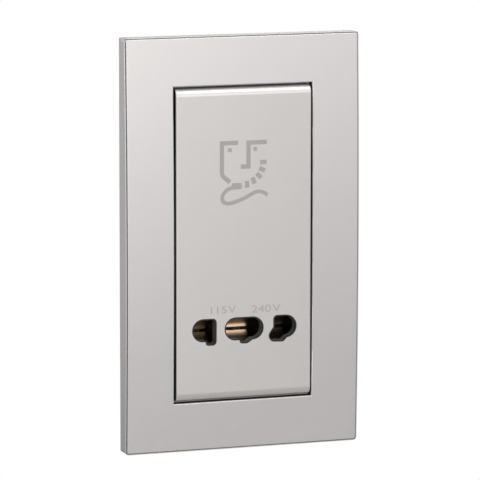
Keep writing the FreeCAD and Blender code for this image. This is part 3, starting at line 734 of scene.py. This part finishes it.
@dataclass
class ShaverSign:
    """The printed sign on the panel: two half faces, a shaver and its lead."""

    surface: float
    stroke: float = 1.55 * MM
    lead_stroke: float = 1.35 * MM
    ink_depth: float = 0.02 * MM
    lead_depth: float = 0.015 * MM
    corner_steps: int = 3
    left_face: tuple[Place, ...] = (
        (-2.24 * MM, 35.55 * MM),
        (-8.14 * MM, 35.55 * MM),
        (-8.14 * MM, 25.2 * MM),
        (-8.0 * MM, 24.5 * MM),
        (-7.55 * MM, 23.8 * MM),
        (-5.15 * MM, 21.75 * MM),
    )
    right_face: tuple[Place, ...] = (
        (8.39 * MM, 35.45 * MM),
        (1.63 * MM, 35.45 * MM),
        (1.63 * MM, 27.1 * MM),
        (-1.21 * MM, 27.1 * MM),
    )
    eye: float = 1.4 * MM
    eyes: tuple[Place, ...] = ((-5.25 * MM, 33.1 * MM), (4.1 * MM, 33.15 * MM))
    dash: Size = (2.4 * MM, 1.6 * MM)
    beard_centre: Place = (1.0 * MM, 28.4 * MM)
    beard: tuple[Place, ...] = (
        (7.1 * MM, 28.4 * MM),
        (6.66 * MM, 25.9 * MM),
        (5.5 * MM, 23.75 * MM),
        (3.5 * MM, 22.0 * MM),
        (1.1 * MM, 20.85 * MM),
    )
    shaver: Size = (3.7 * MM, 2.25 * MM)
    shaver_middle: Place = (-2.7 * MM, 20.3 * MM)
    shaver_corner: float = 0.4 * MM
    lead: tuple[Place, ...] = (
        (-4.45 * MM, 20.0 * MM),
        (-6.8 * MM, 18.7 * MM),
        (-8.0 * MM, 16.6 * MM),
        (-7.45 * MM, 14.95 * MM),
        (-5.4 * MM, 14.4 * MM),
        (-2.3 * MM, 15.15 * MM),
        (0.7 * MM, 16.25 * MM),
        (3.1 * MM, 17.55 * MM),
        (5.0 * MM, 18.15 * MM),
        (7.2 * MM, 17.75 * MM),
        (8.66 * MM, 16.75 * MM),
    )

    def bar(self, size: Size, corner: float = 0.08 * MM) -> bpy.types.Object:
        """A level bar of ink in the middle of the panel's front, with eased corners.

        Args:
            size: its length and width.
            corner: the radius of its corners.

        Returns:
            The bar.
        """
        deselect()
        bed = self.surface + self.ink_depth
        bpy.ops.mesh.primitive_plane_add(size=1, location=(0.0, bed, 0.0), rotation=(math.pi / 2, 0.0, 0.0))
        piece = bpy.context.object
        piece.scale = (*size, 1.0)
        settle(piece)
        bpy.ops.object.mode_set(mode="EDIT")
        bpy.ops.mesh.select_all(action="SELECT")
        bpy.ops.mesh.bevel(offset=corner, segments=self.corner_steps, affect="VERTICES")
        bpy.ops.mesh.select_all(action="SELECT")
        rise = (0.0, -2 * self.ink_depth, 0.0)
        bpy.ops.mesh.extrude_region_move(TRANSFORM_OT_translate={"value": rise})
        bpy.ops.mesh.select_all(action="SELECT")
        bpy.ops.mesh.normals_make_consistent(inside=False)
        bpy.ops.object.mode_set(mode="OBJECT")
        return piece

    def drawn(self, points: tuple[Place, ...], line: Line, width: float, depth: float) -> bpy.types.Object:
        """A stroke of ink: a low wall along a curve, thickened to the stroke's width.

        Args:
            points: the points that it runs through, on the panel.
            line: how it runs between them.
            width: its width.
            depth: how far it stands in front of the panel.

        Returns:
            The stroke.
        """
        deselect()
        middle = (0.0, self.surface, 0.0)
        bpy.ops.curve.primitive_bezier_curve_add(location=middle, rotation=(math.pi / 2, 0.0, 0.0))
        piece = bpy.context.object
        curve = piece.data
        curve.dimensions = "2D"
        curve.extrude = depth
        curve.splines.clear()
        spline = curve.splines.new(line.value)
        if line is Line.SMOOTH:
            spline.bezier_points.add(len(points) - 1)
            for point, (across, up) in zip(spline.bezier_points, points):
                point.co = (across, up, 0.0)
                point.handle_left_type = "AUTO"
                point.handle_right_type = "AUTO"
        else:
            spline.points.add(len(points) - 1)
            for point, (across, up) in zip(spline.points, points):
                point.co = (across, up, 0.0, 1.0)
        bpy.ops.object.convert(target="MESH")
        settle(piece)
        thicken = piece.modifiers.new("width", "SOLIDIFY")
        thicken.thickness = width
        thicken.offset = 0.0
        thicken.use_even_offset = True
        bpy.ops.object.modifier_apply(modifier=thicken.name)
        bpy.ops.object.shade_flat()
        return piece

    def spots(self, places: tuple[Place, ...]) -> list[Matrix]:
        """Level places on the panel."""
        return [Matrix.Translation((across, 0.0, up)) for across, up in places]

    def beard_places(self) -> list[Matrix]:
        """Places of the beard's dashes, each of which points away from the beard's middle.

        Returns:
            How each dash is turned and moved.
        """
        turned = []
        for spot, (across, up) in zip(self.spots(self.beard), self.beard):
            swing = math.atan2(up - self.beard_centre[1], across - self.beard_centre[0])
            turned.append(spot @ Matrix.Rotation(-swing, 4, "Y"))
        return turned

    def build(self, ink: bpy.types.Material) -> bpy.types.Object:
        """Models the sign and inks it.

        Args:
            ink: the ink's material.

        Returns:
            The sign, on the panel.
        """
        strokes = [
            self.drawn(self.left_face, Line.STRAIGHT, self.stroke, self.ink_depth),
            self.drawn(self.right_face, Line.STRAIGHT, self.stroke, self.ink_depth),
            self.drawn(self.lead, Line.SMOOTH, self.lead_stroke, self.lead_depth),
            *copies(self.bar((self.eye, self.eye)), self.spots(self.eyes)),
            *copies(self.bar(self.dash), self.beard_places()),
            *copies(self.bar(self.shaver, self.shaver_corner), self.spots((self.shaver_middle,))),
        ]
        sign = join(strokes, "shaver_sign")
        dress(sign, ink)
        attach(sign, Body.UNIT.value)
        return sign


@dataclass(frozen=True)
class Mark:
    """Some printed characters, with their left and right limits and the level that they stand on."""

    words: str
    left: float
    right: float
    foot: float


@dataclass
class VoltageMarks:
    """The printed voltages over the apertures."""

    surface: float
    marks: tuple[Mark, ...] = (
        Mark("115 V", left=-12.25 * MM, right=-2.93 * MM, foot=-24.36 * MM),
        Mark("240 V", left=2.85 * MM, right=13.59 * MM, foot=-24.65 * MM),
    )
    height: float = 2.6 * MM
    word_space: float = 0.3
    unit_thickness: float = 1.0
    ink_depth: float = 0.015 * MM

    def printed(self, mark: Mark) -> bpy.types.Object:
        """One mark, fitted between its limits.

        Args:
            mark: what it says and where it goes.

        Returns:
            The mark, as a mesh.
        """
        deselect()
        bpy.ops.object.text_add()
        piece = bpy.context.object
        piece.data.body = mark.words
        piece.data.space_word = self.word_space
        piece.data.extrude = self.unit_thickness / 2
        bpy.ops.object.convert(target="MESH")
        corners = list(zip(*piece.bound_box))
        low = Vector([min(values) for values in corners])
        high = Vector([max(values) for values in corners])
        wide = (mark.right - mark.left) / (high.x - low.x)
        tall = self.height / (high.y - low.y)
        thick = 2 * self.ink_depth / self.unit_thickness
        upright = Matrix.Rotation(math.pi / 2, 4, "X")
        place = Matrix.Translation((mark.left, self.surface, mark.foot)) @ upright
        fit = Matrix.Diagonal((wide, tall, thick, 1.0)) @ Matrix.Translation((-low.x, -low.y, 0.0))
        piece.matrix_world = place @ fit
        settle(piece)
        return piece

    def build(self, ink: bpy.types.Material) -> bpy.types.Object:
        """Models the marks and inks them.

        Args:
            ink: the ink's material.

        Returns:
            The marks, on the panel.
        """
        marks = join([self.printed(mark) for mark in self.marks], "voltage_marks")
        dress(marks, ink)
        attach(marks, Body.UNIT.value)
        return marks


@dataclass
class TerminalScrews:
    """The slotted screws that clamp the wires, in place of the node's plain ones."""

    node: bpy.types.Object
    sides: int = 40
    smooth_angle: float = math.radians(30)
    end_facing: float = 0.9
    chamfer: float = 0.25 * MM
    chamfer_steps: int = 2
    slot_reach: float = 3.0
    slot_width: float = 0.55 * MM
    slot_depth: float = 0.8 * MM
    slot_turns: tuple[float, ...] = (math.radians(25), math.radians(-40), math.radians(70))

    def screw(self, radius: float, inner: float, outer: float) -> bpy.types.Object:
        """One screw along the depth axis, chamfered and slotted at its outer end.

        Args:
            radius: its radius.
            inner: where its clamping end is.
            outer: where its slotted end is.

        Returns:
            The screw.
        """
        deselect()
        middle = (0.0, (inner + outer) / 2, 0.0)
        laid_level = (math.pi / 2, 0.0, 0.0)
        bpy.ops.mesh.primitive_cylinder_add(
            vertices=self.sides, radius=radius, depth=outer - inner, location=middle, rotation=laid_level
        )
        piece = bpy.context.object
        settle(piece)
        for face in piece.data.polygons:
            face.select = face.normal.y > self.end_facing
        bpy.ops.object.mode_set(mode="EDIT")
        bpy.ops.mesh.region_to_loop()
        bpy.ops.mesh.bevel(offset=self.chamfer, segments=self.chamfer_steps, affect="EDGES")
        deselect()
        bpy.ops.mesh.primitive_cube_add(size=1, location=(0.0, outer, 0.0))
        cutter = bpy.context.object
        cutter.scale = (self.slot_reach * radius, 2 * self.slot_depth, self.slot_width)
        settle(cutter)
        deselect()
        piece.select_set(True)
        bpy.context.view_layer.objects.active = piece
        slot = piece.modifiers.new("slot", "BOOLEAN")
        slot.operation = "DIFFERENCE"
        slot.object = cutter
        bpy.ops.object.modifier_apply(modifier=slot.name)
        bpy.data.objects.remove(cutter)
        bpy.ops.object.shade_smooth_by_angle(angle=self.smooth_angle)
        return piece

    def build(self, steel: bpy.types.Material) -> bpy.types.Object:
        """Models the screws where the node's are.

        Args:
            steel: their material.

        Returns:
            The screws.
        """
        low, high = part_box(self.node.name)
        radius = (high[2] - low[2]) / 2
        level = (high[2] + low[2]) / 2
        pitch = (high[0] - low[0]) / 2 - radius
        places = [
            Matrix.Translation((across, 0.0, level)) @ Matrix.Rotation(turn, 4, "Y")
            for across, turn in zip((-pitch, 0.0, pitch), self.slot_turns)
        ]
        screws = join(copies(self.screw(radius, low[1], high[1]), places), "slotted_terminal_screws")
        dress(screws, steel)
        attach(screws, Body.UNIT.value)
        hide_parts(self.node.name)
        return screws


class RoomNodes(NodeTree):
    """The nodes of the surroundings, which depend on the direction."""

    def __init__(self, world: bpy.types.World) -> None:
        """Takes up the nodes of a world.

        Args:
            world: the world.
        """
        super().__init__(world.node_tree)
        self.direction = self.nodes.new("ShaderNodeSeparateXYZ")
        self.links.new(self.nodes.new("ShaderNodeTexCoord").outputs["Generated"], self.direction.inputs[0])

    def graded(self, axis: Axis, span: Span, levels: Span) -> Socket:
        """A level that changes smoothly along one axis of the direction.

        Args:
            axis: the axis that it changes along.
            span: where the change starts and where it ends.
            levels: the level before the change and the one after it.

        Returns:
            The level.
        """
        node = self.nodes.new("ShaderNodeMapRange")
        node.interpolation_type = "SMOOTHSTEP"
        for name, value in zip(("From Min", "From Max", "To Min", "To Max"), (*span, *levels)):
            node.inputs[name].default_value = value
        self.links.new(self.direction.outputs[axis.value], node.inputs["Value"])
        return node.outputs[0]


@dataclass(frozen=True)
class Lamp:
    """A square soft lamp, with its place and side in metres and its power in watts."""

    name: str
    place: Triple
    side: float
    power: float
    tint: Colour = (1.0, 1.0, 1.0)

    def light(self) -> None:
        """Sets the lamp up, facing the object and out of the camera's sight."""
        data = bpy.data.lights.new(self.name, "AREA")
        data.size = self.side
        data.energy = self.power
        data.color = self.tint
        lamp = bpy.data.objects.new(self.name, data)
        lamp.visible_camera = False
        bpy.context.collection.objects.link(lamp)
        towards = (-Vector(self.place)).to_track_quat("-Z", "Y").to_matrix().to_4x4()
        lamp.matrix_world = Matrix.Translation(self.place) @ towards


@dataclass
class Studio:
    """Camera, soft lamps, pale surroundings and floor."""

    target: Vector = Vector((1.51 * MM, 0.0, -0.056 * MM))
    azimuth: float = math.radians(18.974)
    elevation: float = math.radians(8.656)
    roll: float = math.radians(0.049)
    distance: float = 1.33301
    lens: float = 284.65
    sensor: float = 36.0
    floor_level: float = -0.3
    floor_size: float = 1.1
    floor_colour: Colour = (0.82, 0.82, 0.81)
    floor_tones: Span = (0.98, 1.0)
    floor_cloud: float = 0.3
    floor_roughness: float = 0.8
    ambient: float = 0.4
    room_level: float = 1.13
    room_rise: Span = (-0.3, 0.15)
    ground_share: float = 0.25
    behind_reach: Span = (0.0, 0.8)
    behind_share: float = 0.7
    lamps: tuple[Lamp, ...] = (
        Lamp("front", place=(-0.1, -1.3, 0.1), side=0.6, power=4.0, tint=(1.0, 0.973, 0.972)),
        Lamp("top", place=(0.2, -0.35, 0.6), side=0.2, power=0.89),
        Lamp("side", place=(0.25, -0.9, 0.25), side=0.3, power=0.27),
        Lamp("edge", place=(-0.4, 0.9, 0.0), side=0.5, power=0.22),
        Lamp("back", place=(0.6, 0.9, -0.12), side=0.6, power=3.0),
    )

    def camera(self) -> None:
        """Places the camera in front of the object, towards the left and a little above."""
        away = Vector((
            -math.sin(self.azimuth) * math.cos(self.elevation),
            -math.cos(self.azimuth) * math.cos(self.elevation),
            math.sin(self.elevation),
        ))
        data = bpy.data.cameras.new("camera")
        data.lens = self.lens
        data.sensor_width = self.sensor
        camera = bpy.data.objects.new("camera", data)
        bpy.context.collection.objects.link(camera)
        turn = (-away).to_track_quat("-Z", "Y").to_matrix().to_4x4() @ Matrix.Rotation(self.roll, 4, "Z")
        camera.matrix_world = Matrix.Translation(self.target + away * self.distance) @ turn
        bpy.context.scene.camera = camera

    def surroundings(self) -> None:
        """White for the camera; elsewhere a pale room, dimmer near the ground and behind the object."""
        world = bpy.data.worlds.new("surroundings")
        world.use_nodes = True
        room = RoomNodes(world)
        upward = room.graded(Axis.Z, self.room_rise, (self.ground_share, 1.0))
        backward = room.graded(Axis.Y, self.behind_reach, (1.0, self.behind_share))
        level = room.math("MULTIPLY", room.math("MULTIPLY", upward, backward), self.room_level)
        path = room.nodes.new("ShaderNodeLightPath")
        mirrored = room.math("MAXIMUM", path.outputs["Is Glossy Ray"], path.outputs["Is Transmission Ray"])
        share = room.math("MAXIMUM", mirrored, self.ambient)
        lit = room.math("MULTIPLY", share, level)
        seen = path.outputs["Is Camera Ray"]
        unseen = room.math("MULTIPLY", room.math("SUBTRACT", 1.0, seen), lit)
        strength = room.math("ADD", seen, unseen)
        background = room.nodes["Background"]
        background.inputs["Color"].default_value = (1.0, 1.0, 1.0, 1.0)
        room.links.new(strength, background.inputs["Strength"])
        bpy.context.scene.world = world

    def floor(self) -> None:
        """A plain pale floor under the object."""
        deselect()
        bpy.ops.mesh.primitive_plane_add(size=self.floor_size, location=(0.0, 0.0, self.floor_level))
        floor = bpy.context.object
        floor.name = "floor"
        board = NodeBoard("pale_floor")
        cloud = board.spread(board.noise(self.floor_cloud), 0.0, 1.0)
        board.feed("Base Color", board.toned(cloud, self.floor_colour, self.floor_tones))
        board.fix({"Roughness": self.floor_roughness})
        floor.data.materials.append(board.material)

    def build(self) -> None:
        """Sets up the whole studio."""
        self.camera()
        self.surroundings()
        self.floor()
        for lamp in self.lamps:
            lamp.light()
        bpy.context.scene.view_settings.view_transform = "Standard"


BLACK = (0.016, 0.016, 0.017)
FRAME_PAINT = SatinPaint("silver_frame", (0.665, 0.648, 0.640))
PANEL_PAINT = SatinPaint("silver_panel", (0.675, 0.651, 0.637))
GUIDE_MOULDING = Moulding("scuffed_moulding", BLACK, roughness=0.42)
INK = PrintInk("grey_ink", (0.50, 0.49, 0.485))
BRONZE = SheetMetal(
    name="contact_bronze",
    colour=(0.26, 0.20, 0.12),
    stain=(0.09, 0.07, 0.04),
    roughness=0.34,
    streak=(1.0, 0.06, 1.0),
    stain_size=2 * MM,
    stain_share=0.7,
    wear_and_highlight_colour=(0.95, 0.80, 0.68),
)
FINISHES = {
    "black_moulding": Moulding("black_moulding", BLACK, roughness=0.42),
    "grey_moulding": Moulding("grey_moulding", (0.42, 0.42, 0.41)),
    "case_moulding": Moulding(
        name="case_moulding",
        colour=(0.78, 0.78, 0.75),
        roughness=0.48,
        grain=0.35 * MM,
        relief=0.012 * MM,
    ),
    "plated_steel": SheetMetal(
        name="plated_steel",
        colour=(0.62, 0.62, 0.60),
        stain=(0.47, 0.46, 0.42),
        roughness=0.52,
    ),
    "core_steel": Banded(
        name="core_steel",
        colour=(0.20, 0.20, 0.21),
        gap=(0.03, 0.03, 0.03),
        axis=Axis.Y,
        pitch=0.5 * MM,
        relief=0.06 * MM,
        metallic=0.8,
        roughness=0.42,
    ),
    "copper_wire": Banded(
        name="copper_wire",
        colour=(0.60, 0.26, 0.11),
        gap=(0.13, 0.05, 0.02),
        axis=Axis.Z,
        pitch=0.4 * MM,
        relief=0.1 * MM,
        metallic=0.9,
        roughness=0.3,
    ),
    "terminal_brass": SheetMetal(
        name="terminal_brass",
        colour=(0.80, 0.62, 0.30),
        stain=(0.52, 0.38, 0.16),
        roughness=0.26,
        streak=(0.06, 1.0, 1.0),
        streak_size=0.1 * MM,
        stain_size=3 * MM,
        stain_share=0.35,
    ),
    "cutout_case": Moulding(
        name="cutout_case",
        colour=(0.07, 0.07, 0.08),
        roughness=0.22,
        grain=0.5 * MM,
        relief=0.002 * MM,
    ),
}


def main() -> None:
    """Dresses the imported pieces, adds the prints and sets up the studio."""
    logging.basicConfig(level=logging.INFO, format="%(name)s: %(message)s")
    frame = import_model()
    nodes = frame["nodes"]

    CoverFrame(nodes["front_frame"]).dress(FRAME_PAINT)
    CentrePanel(nodes["centre_panel"]).dress(PANEL_PAINT)
    materials = {slot: finish.make() for slot, finish in FINISHES.items()}
    for subpart in frame["record"]["subparts"]:
        slot = subpart["material_slot"]
        if slot in materials:
            dress(nodes[subpart["node"]], materials[slot])

    ContactSet(nodes).dress(BRONZE)
    PinGuide(nodes["pin_guide"]).dress(GUIDE_MOULDING)

    panel_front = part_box("centre_panel")[0][1]
    ink = INK.make()
    ShaverSign(panel_front).build(ink)
    VoltageMarks(panel_front).build(ink)
    TerminalScrews(nodes["terminal_screws"]).build(materials["plated_steel"])
    Studio().build()


if __name__ == "__main__":
    main()
